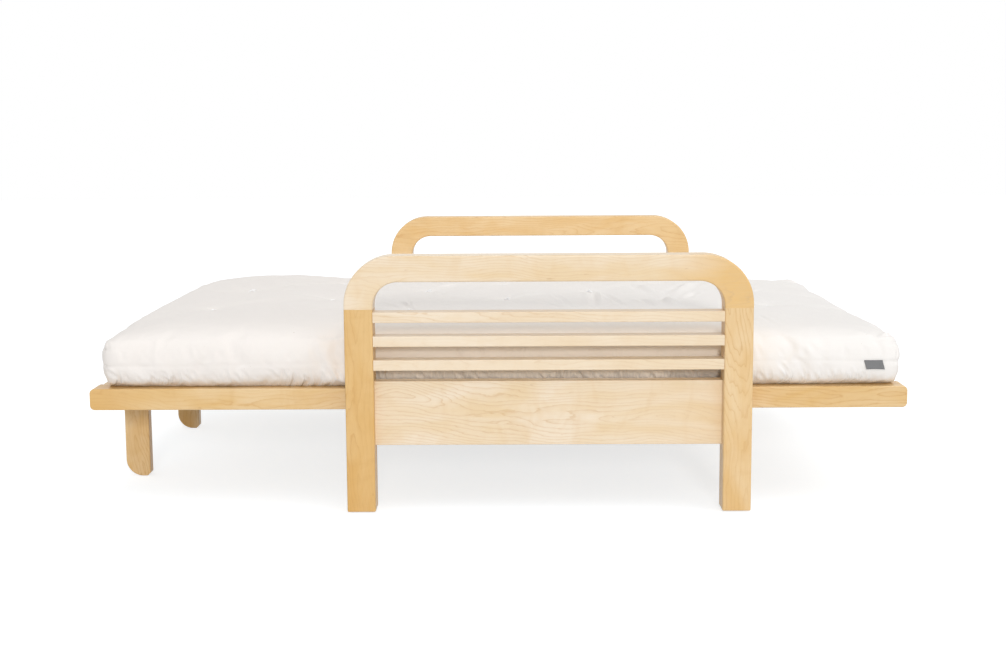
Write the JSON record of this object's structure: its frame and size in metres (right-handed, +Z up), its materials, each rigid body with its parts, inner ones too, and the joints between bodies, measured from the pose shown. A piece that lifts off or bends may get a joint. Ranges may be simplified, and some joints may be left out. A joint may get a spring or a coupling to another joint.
{
  "type": "sofa bed",
  "caption": "Wooden sofa bed laid out as a bed: arched slatted arms, a folding slatted deck that slides through them, and a tufted cotton futon mattress.",
  "frame": {"origin": "floor level, at the middle of the deck's length and of the overall width", "axes": "+X to the front of the sofa, along the bed's length; +Y across, from arm to arm; +Z up"},
  "size_m": [2.052, 1.531, 0.64],
  "materials": {
    "pale_wood": "satin lacquered maple",
    "leg_wood": "satin lacquered maple",
    "deck_wood": "planed maple",
    "steel": "zinc plated",
    "glide_plastic": "matte",
    "mattress_cotton": "unbleached woven cotton"
  },
  "bodies": {
    "base": {"far_arm_arch": "pale_wood", "far_arm_slat_1": "pale_wood", "far_arm_slat_2": "pale_wood", "far_arm_slat_3": "pale_wood", "far_front_leg": "leg_wood", "far_rear_leg": "leg_wood", "far_runner": "deck_wood", "far_side_panel": "pale_wood", "floor_glides": "glide_plastic", "front_stretcher": "deck_wood", "glide_strips": "glide_plastic", "leg_rests": "deck_wood", "middle_beam": "deck_wood", "near_arm_arch": "pale_wood", "near_arm_slat_1": "pale_wood", "near_arm_slat_2": "pale_wood", "near_arm_slat_3": "pale_wood", "near_front_leg": "leg_wood", "near_rear_leg": "leg_wood", "near_runner": "deck_wood", "near_side_panel": "pale_wood", "rear_tie": "deck_wood"},
    "seat": {"mattress_crease": "mattress_cotton", "seat_bearers": "deck_wood", "seat_hinge_leaves": "steel", "seat_hinge_pins": "steel", "seat_keepers": "steel", "seat_mattress": "mattress_cotton", "seat_rail_far": "leg_wood", "seat_rail_near": "leg_wood", "seat_slat_1": "deck_wood", "seat_slat_2": "deck_wood", "seat_slat_3": "deck_wood", "seat_slat_4": "deck_wood", "seat_slat_5": "deck_wood"},
    "back": {"back_bearers": "deck_wood", "back_lower_hinge_leaves": "steel", "back_mattress": "mattress_cotton", "back_rail_far": "leg_wood", "back_rail_near": "leg_wood", "back_slat_1": "deck_wood", "back_slat_2": "deck_wood", "back_slat_3": "deck_wood", "back_slat_4": "deck_wood", "back_slat_5": "deck_wood", "back_upper_hinge_leaves": "steel", "head_hinge_pins": "steel"},
    "head": {"far_stub_leg": "leg_wood", "head_bearers": "deck_wood", "head_hinge_leaves": "steel", "head_mattress": "mattress_cotton", "head_rail_far": "leg_wood", "head_rail_near": "leg_wood", "head_slat_1": "deck_wood", "head_slat_2": "deck_wood", "head_slat_3": "deck_wood", "head_slat_4": "deck_wood", "head_slat_5": "deck_wood", "near_stub_leg": "leg_wood", "stub_leg_bolts": "steel"}
  },
  "joints": [
    {"name": "seat_slide", "type": "slide", "parent": "base", "child": "seat", "axis": [-1, 0, 0], "range_m": [0, 0.399]},
    {"name": "back_recline", "type": "hinge", "parent": "seat", "child": "back", "pos_m": [0.342, 0, 0.295], "axis": [0, 1, 0], "range_deg": [0, 75], "deforming": ["mattress_crease"]},
    {"name": "head_fold", "type": "hinge", "parent": "back", "child": "head", "pos_m": [-0.342, 0, 0.249], "axis": [0, -1, 0], "range_deg": [0, 150]}
  ],
  "couplings": [
    {"joint": "seat_slide", "follows": "back_recline", "m_per_rad": 0.30481},
    {"joint": "head_fold", "follows": "back_recline", "ratio": 2}
  ]
}
